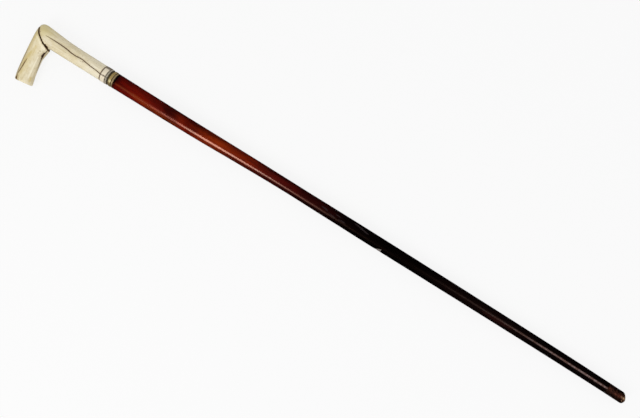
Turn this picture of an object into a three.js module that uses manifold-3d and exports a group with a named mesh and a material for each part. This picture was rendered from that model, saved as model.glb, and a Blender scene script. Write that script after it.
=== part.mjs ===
// A walking stick with an angled bone handle, a banded metal collar, a slim turned shaft and a worn ferrule.
// It lies on its side: +X runs along the shaft to the tip, the handle's arm points to -Y and +Z is up.
// Millimetres throughout.
import * as THREE from 'three';
import { mergeVertices } from 'three/addons/utils/BufferGeometryUtils.js';
import Module from 'manifold-3d';

const wasm = await Module();
wasm.setup();

// Fits shared by every piece
const seatGap = 0.3;
const cutOverrun = 2;
const weldDistance = 1e-4;

// Handle arm, from the stem's axis to the cut end
const armLength = 65.4;
const armLean = 8.6;
const armElbowDiameter = 22.6;
const armWaistDiameter = 21.8;
const armEndDiameter = 22.6;
const armEdge = 1.4;

// Handle stem, from the collar seam to the back of the heel, a little stouter than the arm at the elbow
const elbowSwell = 0.7;
const stemLength = 102.7;
const stemSeamDiameter = 21.1;
const stemElbowDiameter = armElbowDiameter + elbowSwell;
const stemCrown = 1.05;
const heelTop = 14.5;
const heelRound = 8;
const elbowFillet = 4.4;

// Peg across the mitre, and the rod that joins handle and shaft
const mitrePegDiameter = 5;
const mitrePegLength = 18;
const rodDiameter = 8;
const rodInHandle = 42;
const rodInShaft = 48;
const pegBevel = 0.6;

// Collar, four bands side by side over the joint
const silverWidth = 6.7;
const milledWidth = 3.4;
const bandWidth = 6.2;
const rimWidth = 3.1;
const silverDiameter = 21.8;
const milledDiameter = 21.4;
const bandDiameter = 21.1;
const rimDiameter = 20.8;
const collarBore = 18.4;
const collarEdge = 0.4;
const spigotLength = 11;
const beadCount = 36;
const beadDepth = 0.5;
const bandGroove = 1.5;
const rimGroove = 0.9;
const grooveDepth = 0.7;

// Pin through the silver band
const collarPinDiameter = 1.2;
const collarPinLength = 3.8;
const collarPinFromSeam = 4.6;
const collarPinTurn = THREE.MathUtils.degToRad(18.6);

// Shaft, from the collar to the top of the ferrule
const shaftLength = 750.8;
const shaftTopDiameter = 20.4;
const shaftWaistDiameter = 16.3;
const shaftSwellDiameter = 17;
const shaftTipDiameter = 15;
const bowRise = 1.9;
const bowEase = 0.95;
const tipHook = 1.95;

// Ferrule
const ferruleLength = 28;
const ferruleEndDiameter = 14.8;
const ferruleWall = 2;
const plugLength = 8;
const plugStand = 0.4;
const wearDepth = 4;
const wearStart = 2.6;
const ferrulePinDiameter = 1.6;
const ferrulePinLength = 4.6;
const ferrulePinFromTop = 8;
const ferrulePinTurn = THREE.MathUtils.degToRad(220);

// Where the shaft's outline and bow change, as shares of its length
const shaftOutlineShares = {
  neck: [0.168, 0.63],
  fall: [0.265, 0.26],
  waist: 0.356,
  swell: 0.512,
  taper: [0.67, 0.74],
};
const bowStartShare = 0.107;
const bowCrestShare = 0.341;
const bowHookPower = 6;

// Each stem slice between seam and elbow: its shares of the length, of the crown and of the growth
const stemGrowthShares = [
  [0.5, 0.08, 0.1],
  [0.75, 0.33, 0.33],
];

// Each arm slice: its share of the length, and its share of the lean
const armDriftShares = [
  [0.27, 0.17],
  [0.4, 0.22],
  [0.55, 0.34],
  [0.78, 0.61],
  [0.91, 0.84],
  [1, 1],
];
const heelFanShares = [0.2, 0.36, 0.44];
const mitreShare = 0.525;
const armFanShare = 0.62;
const ferruleRoundShare = 0.7;
const pegBevelShare = 0.33;

// Facets round each piece, slices between two named ones, and steps along curves
const shaftSides = 32;
const handleSides = 36;
const collarSides = 48;
const pegSides = 20;
const stepsPerBead = 4;
const slicesPerSpan = 2;
const shaftSteps = 26;
const rimSteps = 4;
const cornerSteps = 3;

// Sizes that follow from the ones above
const collarLength = silverWidth + milledWidth + bandWidth + rimWidth;
const boreRadius = collarBore / 2;
const spigotRadius = boreRadius - seatGap;
const seamX = -collarLength;
const rodSeat = rodDiameter / 2 + seatGap;
const plugSeat = shaftTipDiameter / 2 - ferruleWall;
const ferruleTop = shaftLength + seatGap;
const ferruleEnd = shaftLength + ferruleLength;

// Solids: closed geometry in, closed geometry out
function solidOf(geometry) {
  geometry.deleteAttribute('normal');
  geometry.deleteAttribute('uv');
  const merged = mergeVertices(geometry, weldDistance);
  const corners = merged.index.array;
  const kept = [];
  for (let i = 0; i < corners.length; i += 3) {
    const [a, b, c] = corners.slice(i, i + 3);
    if (a !== b && b !== c && c !== a) kept.push(a, b, c);
  }
  const triVerts = Uint32Array.from(kept);
  const vertProperties = Float32Array.from(merged.attributes.position.array);
  return new wasm.Manifold(new wasm.Mesh({ numProp: 3, vertProperties, triVerts }));
}

function geometryOf(solid) {
  const mesh = solid.getMesh();
  const geometry = new THREE.BufferGeometry();
  geometry.setAttribute('position', new THREE.BufferAttribute(mesh.vertProperties, 3));
  geometry.setIndex(new THREE.BufferAttribute(mesh.triVerts, 1));
  geometry.computeVertexNormals();
  return geometry;
}

// Even steps from 0 to 1
function stepShares(count) {
  return Array.from({ length: count + 1 }, (_, step) => step / count);
}

// A profile of [station, radius] pairs turned about the X axis
function turned(profile, sides) {
  const points = profile.map(([station, radius]) => new THREE.Vector2(radius, station));
  return new THREE.LatheGeometry(points, sides).rotateZ(-Math.PI / 2);
}

// A ring with square sides and a crown given by [station, radius] pairs
function ringProfile(start, end, crown) {
  return [[start, boreRadius], ...crown, [end, boreRadius], [start, boreRadius]];
}

// A round peg with bevelled ends, from one point towards another direction
function peg(start, direction, radius, length) {
  const bevel = Math.min(pegBevel, radius * pegBevelShare);
  const profile = [
    [0, 0],
    [0, radius - bevel],
    [bevel, radius],
    [length - bevel, radius],
    [length, radius - bevel],
    [length, 0],
  ];
  return placed(turned(profile, pegSides), start, direction);
}

// The straight hole that a peg sits in
function pegHole(start, direction, radius, length) {
  const seat = radius + seatGap;
  const profile = [[0, 0], [0, seat], [length, seat], [length, 0]];
  return placed(turned(profile, pegSides), start, direction);
}

function placed(geometry, start, direction) {
  const along = new THREE.Vector3(1, 0, 0);
  const turn = new THREE.Quaternion().setFromUnitVectors(along, direction.clone().normalize());
  return geometry.applyQuaternion(turn).translate(start.x, start.y, start.z);
}

// The shaft's gentle natural bow: how far its axis lies to +Y at a station
function bowAt(station) {
  const start = bowStartShare * shaftLength;
  const crest = bowCrestShare * shaftLength;
  const past = Math.max(0, (station - crest) / (ferruleEnd - crest));
  const rise = bowRise * THREE.MathUtils.smoothstep(station, start, crest);
  return rise - bowEase * past - tipHook * past ** bowHookPower;
}

function bowed(geometry) {
  const position = geometry.attributes.position;
  for (let i = 0; i < position.count; i += 1) {
    position.setY(i, position.getY(i) + bowAt(position.getX(i)));
  }
  return geometry;
}

// Handle. Its own origin is on the stem's axis at the collar seam, with -X to the heel.
const lean = Math.atan2(armLean, armLength);
const fanSweep = Math.PI / 2 + lean;
const stemElbowX = elbowFillet + armElbowDiameter - stemLength + armLean * armDriftShares[0][1];
const pivot = new THREE.Vector2(stemElbowX, stemCrown - stemElbowDiameter / 2 - elbowFillet);

function fanDirection(share) {
  return new THREE.Vector2(-Math.sin(share * fanSweep), Math.cos(share * fanSweep));
}

// The heel's outline seen from the pivot: a rising top, a straight back and a round corner
function heelPoint(direction) {
  const stemTop = stemCrown + stemElbowDiameter / 2;
  const slope = (heelTop - stemTop) / (pivot.x + stemLength - heelRound);
  const toTop = (stemTop - pivot.y) / (direction.y + slope * direction.x);
  const toBack = (-stemLength - pivot.x) / direction.x;
  const square = direction.clone().multiplyScalar(Math.min(toTop, toBack)).add(pivot);
  const corner = new THREE.Vector2(heelRound - stemLength, heelTop - heelRound);
  if (square.x > corner.x || square.y < corner.y) return square;
  const toCorner = corner.clone().sub(pivot);
  const near = direction.dot(toCorner);
  const reach = near + Math.sqrt(near ** 2 - toCorner.lengthSq() + heelRound ** 2);
  return direction.clone().multiplyScalar(reach).add(pivot);
}

// One slice of the handle: its outer and inner points, half its thickness and its middle's height
function slice(outer, inner, half, height) {
  return { outer, inner, half, height };
}

function stemSlice(x, crown, diameter) {
  const outer = new THREE.Vector2(x, crown + diameter / 2);
  const inner = new THREE.Vector2(x, crown - diameter / 2);
  return slice(outer, inner, diameter / 2, 0);
}

function fanSlice(share) {
  const direction = fanDirection(share);
  const inner = direction.clone().multiplyScalar(elbowFillet).add(pivot);
  return slice(heelPoint(direction), inner, stemElbowDiameter / 2, 0);
}

function armSlice(share, drift, diameter) {
  const across = fanDirection(1).multiplyScalar(diameter / 2);
  const top = armElbowDiameter / 2 - stemLength;
  const middle = new THREE.Vector2(top + drift * armLean, -share * armLength);
  const half = diameter / 2;
  const height = (half - stemElbowDiameter / 2) * share;
  return slice(middle.clone().add(across), middle.clone().sub(across), half, height);
}

function handleSlices() {
  const growth = stemElbowDiameter - stemSeamDiameter;
  const middling = (armWaistDiameter + armEndDiameter) / 2;
  const armDiameters = [armElbowDiameter, armWaistDiameter, armWaistDiameter, middling];
  armDiameters.push(armEndDiameter, armEndDiameter);
  const grown = ([along, crown, size]) => {
    return stemSlice(stemElbowX * along, stemCrown * crown, stemSeamDiameter + growth * size);
  };
  return [
    stemSlice(0, 0, stemSeamDiameter),
    ...stemGrowthShares.map(grown),
    stemSlice(stemElbowX, stemCrown, stemElbowDiameter),
    ...heelFanShares.map(fanSlice),
    fanSlice(mitreShare),
    fanSlice(armFanShare),
    ...armDriftShares.map(([share, drift], i) => armSlice(share, drift, armDiameters[i])),
  ];
}

// Slices between two named ones follow smooth curves through them all
function smoothSlices(named, first, last) {
  const outers = new THREE.SplineCurve(named.map((each) => each.outer));
  const inners = new THREE.SplineCurve(named.map((each) => each.inner));
  const sizes = new THREE.SplineCurve(named.map((each) => new THREE.Vector2(each.half, each.height)));
  const slices = [];
  for (let i = first * slicesPerSpan; i <= last * slicesPerSpan; i += 1) {
    const share = i / slicesPerSpan / (named.length - 1);
    const size = sizes.getPoint(share);
    slices.push(slice(outers.getPoint(share), inners.getPoint(share), size.x, size.y));
  }
  return slices;
}

function movedSlice(each, x, y) {
  const shift = new THREE.Vector2(x, y);
  return slice(each.outer.clone().add(shift), each.inner.clone().add(shift), each.half, each.height);
}

function shrunkSlice(each, edge) {
  const across = each.outer.clone().sub(each.inner).setLength(edge);
  const outer = each.outer.clone().sub(across);
  return slice(outer, each.inner.clone().add(across), each.half - edge, each.height);
}

// A closed solid through oval slices
function loft(slices) {
  const geometry = new THREE.CylinderGeometry(1, 1, 1, handleSides, slices.length - 1);
  const position = geometry.attributes.position;
  for (let i = 0; i < position.count; i += 1) {
    const each = slices[Math.round((0.5 - position.getY(i)) * (slices.length - 1))];
    const middle = each.outer.clone().add(each.inner).divideScalar(2);
    const across = each.outer.clone().sub(middle).multiplyScalar(position.getX(i));
    const z = each.height - each.half * position.getZ(i);
    position.setXYZ(i, middle.x + across.x, middle.y + across.y, z);
  }
  return geometry;
}

const namedSlices = handleSlices();
const mitreIndex = namedSlices.findIndex((each) => each.outer.equals(fanSlice(mitreShare).outer));
const mitreNormal = new THREE.Vector3(Math.cos(mitreShare * fanSweep), Math.sin(mitreShare * fanSweep), 0);

function mitrePeg(makePeg) {
  const { outer, inner } = namedSlices[mitreIndex];
  const middle = outer.clone().add(inner).divideScalar(2);
  const back = mitreNormal.clone().multiplyScalar(-mitrePegLength / 2);
  const start = new THREE.Vector3(middle.x, middle.y, 0).add(back);
  return makePeg(start, mitreNormal, mitrePegDiameter / 2, mitrePegLength);
}

// A peg's hole is longer than the peg by a gap at each blind end
function mitrePegHole() {
  return mitrePeg((start, direction, radius, length) => {
    const back = direction.clone().multiplyScalar(-seatGap);
    return pegHole(start.clone().add(back), direction, radius, length + seatGap * 2);
  });
}

function collarPin(makePeg, radius) {
  const inward = new THREE.Vector3(0, Math.sin(collarPinTurn), -Math.cos(collarPinTurn));
  const head = inward.clone().multiplyScalar(-radius);
  head.x = collarPinFromSeam;
  return makePeg(head, inward, collarPinDiameter / 2, collarPinLength + radius - silverDiameter / 2);
}

function collarPinHole() {
  return collarPin(pegHole, silverDiameter / 2 + cutOverrun);
}

function handleStem() {
  const slices = smoothSlices(namedSlices, 0, mitreIndex);
  const joint = mitreNormal.clone().multiplyScalar(seatGap / 2);
  slices.push(movedSlice(slices.pop(), joint.x, joint.y));
  const spigot = spigotRadius * 2;
  const body = loft([stemSlice(spigotLength, 0, spigot), stemSlice(0, 0, spigot), ...slices]);
  const rodHoleStart = new THREE.Vector3(-rodInHandle - seatGap, 0, 0);
  const rodHoleLength = rodInHandle + spigotLength + cutOverrun;
  const rodHole = pegHole(rodHoleStart, new THREE.Vector3(1, 0, 0), rodDiameter / 2, rodHoleLength);
  const holes = [rodHole, mitrePegHole(), collarPinHole()];
  return geometryOf(cutBy(body, holes));
}

function handleArm() {
  const slices = smoothSlices(namedSlices, mitreIndex, namedSlices.length - 1);
  const joint = mitreNormal.clone().multiplyScalar(-seatGap / 2);
  slices.unshift(movedSlice(slices.shift(), joint.x, joint.y));
  const end = slices.pop();
  const along = fanDirection(1).rotateAround(new THREE.Vector2(), Math.PI / 2).multiplyScalar(armEdge);
  slices.push(movedSlice(end, -along.x, -along.y), shrunkSlice(end, armEdge));
  return geometryOf(cutBy(loft(slices), [mitrePegHole()]));
}

function cutBy(body, holes) {
  return holes.reduce((solid, hole) => solid.subtract(solidOf(hole)), solidOf(body));
}

// Collar bands, with stations counted from the seam towards the tip
function roundedCrown(start, end, radius) {
  return [
    [start, radius - collarEdge],
    [start + collarEdge, radius],
    [end - collarEdge, radius],
    [end, radius - collarEdge],
  ];
}

function silverCollar() {
  const crown = roundedCrown(seatGap, silverWidth, silverDiameter / 2);
  const band = turned(ringProfile(seatGap, silverWidth, crown), collarSides);
  return geometryOf(cutBy(band, [collarPinHole()]));
}

function milledRing() {
  const start = silverWidth + seatGap;
  const end = silverWidth + milledWidth;
  const crown = roundedCrown(start, end, milledDiameter / 2);
  const geometry = turned(ringProfile(start, end, crown), beadCount * stepsPerBead);
  const position = geometry.attributes.position;
  for (let i = 0; i < position.count; i += 1) {
    const y = position.getY(i);
    const z = position.getZ(i);
    const radius = Math.hypot(y, z);
    const dip = beadDepth * (1 - Math.abs(Math.sin(Math.atan2(z, y) * beadCount / 2)));
    const scale = radius > boreRadius + collarEdge ? (radius - dip) / radius : 1;
    position.setY(i, y * scale);
    position.setZ(i, z * scale);
  }
  return geometry;
}

function brassBand() {
  const start = silverWidth + milledWidth + seatGap;
  const end = silverWidth + milledWidth + bandWidth;
  const neck = bandDiameter / 2 - grooveDepth;
  const rise = start + bandGroove;
  const fall = end - rimGroove;
  const crown = [[start, neck], [rise - collarEdge, neck], ...roundedCrown(rise, fall, bandDiameter / 2)];
  crown.push([fall + collarEdge, neck], [end, neck]);
  return turned(ringProfile(start, end, crown), collarSides);
}

function rimRing() {
  const start = collarLength - rimWidth + seatGap;
  const end = collarLength - seatGap;
  const width = end - start;
  const crown = stepShares(rimSteps).map((share) => {
    const turn = Math.PI * share;
    const depth = grooveDepth * (1 - Math.sin(turn));
    return [start + width * (1 - Math.cos(turn)) / 2, rimDiameter / 2 - depth];
  });
  return turned(ringProfile(start, end, crown), collarSides);
}

// Shaft, with stations counted from the collar's end towards the tip
function shaftOutline() {
  const { neck, fall, waist, swell, taper } = shaftOutlineShares;
  const shrink = (share) => shaftWaistDiameter + (shaftTopDiameter - shaftWaistDiameter) * share;
  const named = [
    [0, shaftTopDiameter],
    [neck[0] * shaftLength, shrink(neck[1])],
    [fall[0] * shaftLength, shrink(fall[1])],
    [waist * shaftLength, shaftWaistDiameter],
    [swell * shaftLength, shaftSwellDiameter],
    [taper[0] * shaftLength, shaftTipDiameter + (shaftSwellDiameter - shaftTipDiameter) * taper[1]],
    [shaftLength, shaftTipDiameter],
  ];
  const points = named.map(([station, diameter]) => new THREE.Vector2(station, diameter / 2));
  return new THREE.SplineCurve(points).getPoints(shaftSteps).map((point) => [point.x, point.y]);
}

function shaft() {
  const tenonStart = spigotLength + seatGap - collarLength;
  const tenonEnd = ferruleEnd - plugLength - seatGap;
  const tipTenon = plugSeat - seatGap;
  const profile = [
    [rodInShaft + seatGap, 0],
    [rodInShaft + seatGap, rodSeat],
    [tenonStart, rodSeat],
    [tenonStart, spigotRadius],
    [0, spigotRadius],
    ...shaftOutline(),
    [shaftLength, tipTenon],
    [tenonEnd, tipTenon],
    [tenonEnd, 0],
  ];
  const body = bowed(turned(profile, shaftSides));
  return geometryOf(cutBy(body, [ferrulePinHole()]));
}

function joiningRod() {
  const start = new THREE.Vector3(seamX - rodInHandle, 0, 0);
  const length = rodInHandle + collarLength + rodInShaft;
  return peg(start, new THREE.Vector3(1, 0, 0), rodDiameter / 2, length);
}

// Ferrule
function ferrulePin(makePeg, radius) {
  const station = shaftLength + ferrulePinFromTop;
  const inward = new THREE.Vector3(0, Math.sin(ferrulePinTurn), -Math.cos(ferrulePinTurn));
  const head = inward.clone().multiplyScalar(-radius);
  head.x = station;
  head.y += bowAt(station);
  const depth = ferrulePinLength + radius - ferruleEndDiameter / 2;
  return makePeg(head, inward, ferrulePinDiameter / 2, depth);
}

function ferrulePinHole() {
  return ferrulePin(pegHole, ferruleEndDiameter / 2 + cutOverrun + seatGap);
}

// The slanted flat that wear has ground off one side of the tip
function wearCut() {
  const tipRadius = ferruleEndDiameter / 2;
  const slope = Math.atan2(wearDepth, tipRadius + wearStart);
  const size = ferruleEndDiameter + cutOverrun * 2;
  const cut = new THREE.BoxGeometry(size, size * 2, size).translate(size / 2, 0, 0).rotateZ(slope);
  return cut.translate(ferruleEnd, bowAt(ferruleEnd) - wearStart, 0);
}

function ferruleSleeve() {
  const endRadius = ferruleEndDiameter / 2;
  const round = ferruleWall * ferruleRoundShare;
  const corner = stepShares(cornerSteps).map((share) => {
    const turn = Math.PI / 2 * share;
    return [ferruleEnd - round * (1 - Math.sin(turn)), endRadius - round * (1 - Math.cos(turn))];
  });
  const profile = [
    [ferruleTop, plugSeat],
    [ferruleTop, shaftTipDiameter / 2],
    ...corner,
    [ferruleEnd, plugSeat],
    [ferruleTop, plugSeat],
  ];
  const body = bowed(turned(profile, shaftSides));
  return geometryOf(cutBy(body, [ferrulePinHole(), wearCut()]));
}

function ferrulePlug() {
  const radius = plugSeat - seatGap;
  const start = ferruleEnd - plugLength;
  const end = ferruleEnd + plugStand;
  const profile = [[start, 0], [start, radius], [end - plugStand, radius], [end, radius - plugStand], [end, 0]];
  return geometryOf(cutBy(bowed(turned(profile, shaftSides)), [wearCut()]));
}

// Finishes
function bone() {
  return new THREE.MeshStandardMaterial({ color: 0xdccfae, roughness: 0.45, metalness: 0 });
}

function silver() {
  return new THREE.MeshStandardMaterial({ color: 0xd8d2c8, roughness: 0.25, metalness: 1 });
}

function brass() {
  return new THREE.MeshStandardMaterial({ color: 0xa98c48, roughness: 0.3, metalness: 1 });
}

function darkWood() {
  return new THREE.MeshStandardMaterial({ color: 0x4a120c, roughness: 0.25, metalness: 0 });
}

function paleWood() {
  return new THREE.MeshStandardMaterial({ color: 0x9a7a4e, roughness: 0.7, metalness: 0 });
}

function rustyIron() {
  return new THREE.MeshStandardMaterial({ color: 0x4a2c22, roughness: 0.8, metalness: 0.4 });
}

function steel() {
  return new THREE.MeshStandardMaterial({ color: 0x8c8984, roughness: 0.4, metalness: 1 });
}

// Assembly
function piece(name, geometry, material) {
  const mesh = new THREE.Mesh(geometry, material);
  mesh.name = name;
  return mesh;
}

function fromSeam() {
  const group = new THREE.Group();
  group.position.x = seamX;
  group.add(
    piece('handle_stem', handleStem(), bone()),
    piece('handle_arm', handleArm(), bone()),
    piece('mitre_peg', mitrePeg(peg), paleWood()),
    piece('silver_collar', silverCollar(), silver()),
    piece('collar_pin', collarPin(peg, silverDiameter / 2), brass()),
    piece('milled_ring', milledRing(), silver()),
    piece('brass_band', brassBand(), brass()),
    piece('rim_ring', rimRing(), brass()),
  );
  return group;
}

function fromShoulder() {
  const group = new THREE.Group();
  group.add(
    piece('joining_rod', joiningRod(), steel()),
    piece('shaft', shaft(), darkWood()),
    piece('ferrule_sleeve', ferruleSleeve(), rustyIron()),
    piece('ferrule_plug', ferrulePlug(), steel()),
    piece('ferrule_pin', ferrulePin(peg, ferruleEndDiameter / 2), steel()),
  );
  return group;
}

// Laid down so that the handle and the ferrule both touch the surface, with the origin under its middle
function laidDown(stick) {
  const handleDrop = (stemElbowDiameter - ferruleEndDiameter) / 2;
  const span = ferruleEnd - ferruleWall * ferruleRoundShare - seamX - stemElbowX;
  stick.rotation.y = Math.atan2(handleDrop, span);
  const box = new THREE.Box3().setFromObject(stick, true);
  const middle = box.getCenter(new THREE.Vector3());
  stick.position.set(-middle.x, -middle.y, -box.min.z);
  return stick;
}

const stick = new THREE.Group();
stick.add(fromSeam(), fromShoulder());
const model = new THREE.Group();
model.add(laidDown(stick));

export default model;
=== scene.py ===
# A walking stick laid on its side on a pale floor and seen from straight above.
# Metres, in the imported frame: +X runs to the tip, -Y is the way the handle's arm points, +Z is up.
import math

import bmesh
import bpy
import numpy as np
from mathutils import Matrix, Vector, noise
from mathutils.bvhtree import BVHTree


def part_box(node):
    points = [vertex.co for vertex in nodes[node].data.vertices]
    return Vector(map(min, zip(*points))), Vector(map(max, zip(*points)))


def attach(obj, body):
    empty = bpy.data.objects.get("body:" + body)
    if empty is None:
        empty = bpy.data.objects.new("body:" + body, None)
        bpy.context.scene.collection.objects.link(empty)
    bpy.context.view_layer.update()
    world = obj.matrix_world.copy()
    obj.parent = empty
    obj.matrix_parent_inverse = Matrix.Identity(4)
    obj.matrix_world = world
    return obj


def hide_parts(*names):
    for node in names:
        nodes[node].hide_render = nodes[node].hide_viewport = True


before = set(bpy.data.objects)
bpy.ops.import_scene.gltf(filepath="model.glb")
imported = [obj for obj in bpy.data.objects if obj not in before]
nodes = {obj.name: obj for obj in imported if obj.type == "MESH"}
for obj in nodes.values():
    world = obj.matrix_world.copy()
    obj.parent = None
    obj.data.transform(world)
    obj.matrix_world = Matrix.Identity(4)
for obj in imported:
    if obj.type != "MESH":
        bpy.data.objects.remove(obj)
scene = bpy.context.scene
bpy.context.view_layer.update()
mm = 0.001
print("frame loaded:", len(nodes), "nodes")


# Camera
view = {
    "lens": 34.875,
    "place": (-16.7 * mm, 25.4 * mm, 817.2 * mm),
    "turn": math.radians(31.97),
}
photo = {
    "focal": 620,  # in pixels
    "below": (245, 1.56),  # what lies straight below the camera, in pixels along and across the stick
    "pixel": 1.3 * mm,  # one pixel on the stick
}


def addObject(name, data):
    made = bpy.data.objects.new(name, data)
    scene.collection.objects.link(made)
    return made


def addCamera():
    camera = addObject("camera", bpy.data.cameras.new("camera"))
    camera.data.lens = view["lens"]
    camera.location = view["place"]
    camera.rotation_euler = (0, 0, view["turn"])
    scene.camera = camera


def photoRay(along, across):
    # the direction from the camera to a point given in pixels along and across the stick
    below = photo["below"]
    focal = photo["focal"]
    return Vector(((along - below[0]) / focal, (below[1] - across) / focal, -1))


def seenAt(places):
    # where the camera sees each place, in pixels along and across the stick
    centre = view["place"]
    below = photo["below"]
    scale = photo["focal"] / (centre[2] - places[:, 2])
    return below[0] + (places[:, 0] - centre[0]) * scale, below[1] - (places[:, 1] - centre[1]) * scale


addCamera()
print("camera set")


# Shader helpers
def paint(red, green, blue):
    # a colour as the eye reads it, from 0 to 255, in the shader's linear light
    def linear(value):
        share = value / 255
        return share / 12.92 if share <= 0.04045 else ((share + 0.055) / 1.055) ** 2.4
    return (linear(red), linear(green), linear(blue), 1)


def setSockets(made, sockets):
    for name, value in sockets.items():
        if isinstance(value, bpy.types.NodeSocket):
            made.id_data.links.new(value, made.inputs[name])
        else:
            made.inputs[name].default_value = value


def addNode(tree, kind, sockets=None, **settings):
    made = tree.nodes.new("ShaderNode" + kind)
    for name, value in settings.items():
        setattr(made, name, value)
    setSockets(made, sockets or {})
    return made


def derive(kind, sockets, **settings):
    # the outputs of a node that is put into the tree of what drives it
    tree = next(value.id_data for value in sockets.values() if isinstance(value, bpy.types.NodeSocket))
    return addNode(tree, kind, sockets, **settings).outputs


def mathOf(operation, first, second):
    return derive("Math", {0: first, 1: second}, operation=operation)[0]


def plus(first, second):
    return mathOf("ADD", first, second)


def minus(first, second):
    return mathOf("SUBTRACT", first, second)


def times(first, second):
    return mathOf("MULTIPLY", first, second)


def larger(first, second):
    return mathOf("MAXIMUM", first, second)


def rangeOf(value, low, high, toLow=0, toHigh=1):
    sockets = {"Value": value, "From Min": low, "From Max": high, "To Min": toLow, "To Max": toHigh}
    return derive("MapRange", sockets, clamp=True)["Result"]


def mixOf(share, first, second, blend="MIX"):
    sockets = {0: share, 6: first, 7: second}  # the factor and the two colours
    return derive("Mix", sockets, data_type="RGBA", blend_type=blend)[2]


def dimmed(colour, shares):
    # a colour with its red, green and blue cut down to shares of themselves
    return mixOf(1, colour, (*shares, 1), "MULTIPLY")


def coated(colour, tones, masks):
    # tones laid over a colour one after another, each where its mask is or else the layer of its name
    for name, tone in tones.items():
        mask = masks[name] if name in masks else layerOf(colour.id_data, name)
        colour = mixOf(mask, colour, paint(*tone))
    return colour


def noiseOf(vector, scale, detail, roughness=0.55, distortion=0):
    sockets = {"Scale": scale, "Detail": detail, "Roughness": roughness, "Distortion": distortion}
    return derive("TexNoise", {"Vector": vector, **sockets})["Fac"]


def stretched(vector, scale):
    return derive("Mapping", {"Vector": vector, "Scale": scale})["Vector"]


def noisesOf(vector, noises):
    # named noises, each with its stretch, scale, detail, roughness and distortion
    return {
        name: noiseOf(stretched(vector, stretch), *values) for name, (stretch, *values) in noises.items()
    }


def objectPlace(tree):
    return addNode(tree, "TexCoord").outputs["Object"]


def layerOf(tree, name, output="Fac"):
    return addNode(tree, "Attribute", attribute_name=name).outputs[output]


def rampOf(share, stops):
    made = addNode(share.id_data, "ValToRGB", {"Fac": share})
    ramp = made.color_ramp
    while len(ramp.elements) < len(stops):
        ramp.elements.new(0.5)
    for element, (position, colour) in zip(ramp.elements, stops):
        element.position = position
        element.color = colour
    return made.outputs["Color"]


def levelsOf(share, stops):
    # a value that follows stops of position and level
    return rampOf(share, [(position, (level, level, level, 1)) for position, level in stops])


def spotOf(vector, centre, radius):
    # 1 at a place, falling smoothly to 0 at the radius
    gap = derive("VectorMath", {0: vector, 1: centre}, operation="DISTANCE")["Value"]
    sockets = {"Value": gap, "From Min": radius, "From Max": 0}
    return derive("MapRange", sockets, clamp=True, interpolation_type="SMOOTHSTEP")["Result"]


def bumpOf(height, distance, strength):
    return derive("Bump", {"Height": height, "Distance": distance, "Strength": strength})["Normal"]


def spaced(sockets):
    return {name.replace("_", " "): value for name, value in sockets.items()}


def emptyTree(owner):
    owner.use_nodes = True
    owner.node_tree.nodes.clear()
    return owner.node_tree


def newMaterial(name, **fixed):
    material = bpy.data.materials.new(name)
    tree = emptyTree(material)
    shader = addNode(tree, "BsdfPrincipled", spaced(fixed))
    addNode(tree, "OutputMaterial", {"Surface": shader.outputs["BSDF"]}, is_active_output=True)
    return material, tree, shader


def drive(shader, **sockets):
    setSockets(shader, spaced(sockets))


def newGroup(name, inputs, outputs):
    group = bpy.data.node_groups.new(name, "ShaderNodeTree")
    for way, sockets in (("INPUT", inputs), ("OUTPUT", outputs)):
        for socket, kind in sockets.items():
            group.interface.new_socket(socket, in_out=way, socket_type="NodeSocket" + kind)
    return group, group.nodes.new("NodeGroupInput").outputs, group.nodes.new("NodeGroupOutput").inputs


def useGroup(group, **sockets):
    return derive("Group", sockets, node_tree=group)


# Shared effects
effects = {
    "scratchStretch": (1, 14, 1),
    "scratches": (0.56, 0.66),  # the noise levels between which scratches show
    "rubs": (0.42, 0.62),  # and the patches where they do
    "rubScale": 0.22,  # the patches' scale, as a share of the scratches'
    "scratchDepth": 0.3,
    "fineScale": 4.3,  # the mottle's finer noise: its scale and its share
    "fineShare": 0.35,
}


def makeWearGroup():
    # fine scratches and handling marks on metal: a mask of bright rubs and a height
    inputs = {"Vector": "Vector", "Scale": "Float", "Amount": "Float"}
    group, given, made = newGroup("wear", inputs, {"Mask": "Float", "Height": "Float"})
    crossed = stretched(given["Vector"], effects["scratchStretch"])
    scratches = noiseOf(crossed, given["Scale"], 4, 0.7)
    clouds = noiseOf(given["Vector"], times(given["Scale"], effects["rubScale"]), 3)
    lines = rangeOf(scratches, *effects["scratches"])
    rubs = rangeOf(clouds, *effects["rubs"])
    mask = times(times(lines, rubs), given["Amount"])
    cut = times(mask, effects["scratchDepth"])
    group.links.new(mask, made["Mask"])
    group.links.new(minus(scratches, cut), made["Height"])
    return group


def makeMottleGroup():
    # soft patches broken by a finer noise, from 0 to 1
    inputs = {"Vector": "Vector", "Scale": "Float", "Contrast": "Float"}
    group, given, made = newGroup("mottle", inputs, {"Mask": "Float"})
    fineScale = times(given["Scale"], effects["fineScale"])
    fineShare = effects["fineShare"]
    broad = noiseOf(given["Vector"], given["Scale"], 2, 0.5, 0.6)
    fine = noiseOf(given["Vector"], fineScale, 4, 0.6)
    both = plus(times(broad, 1 - fineShare), times(fine, fineShare))
    centred = times(minus(both, 0.5), given["Contrast"])
    group.links.new(rangeOf(plus(centred, 0.5), 0, 1), made["Mask"])
    return group


wearGroup = makeWearGroup()
mottleGroup = makeMottleGroup()
print("shared effects made")


# Mesh helpers
def copyOf(nodeName):
    bm = bmesh.new()
    bm.from_mesh(nodes[nodeName].data)
    bmesh.ops.remove_doubles(bm, verts=bm.verts, dist=0.01 * mm)
    return bm


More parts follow.
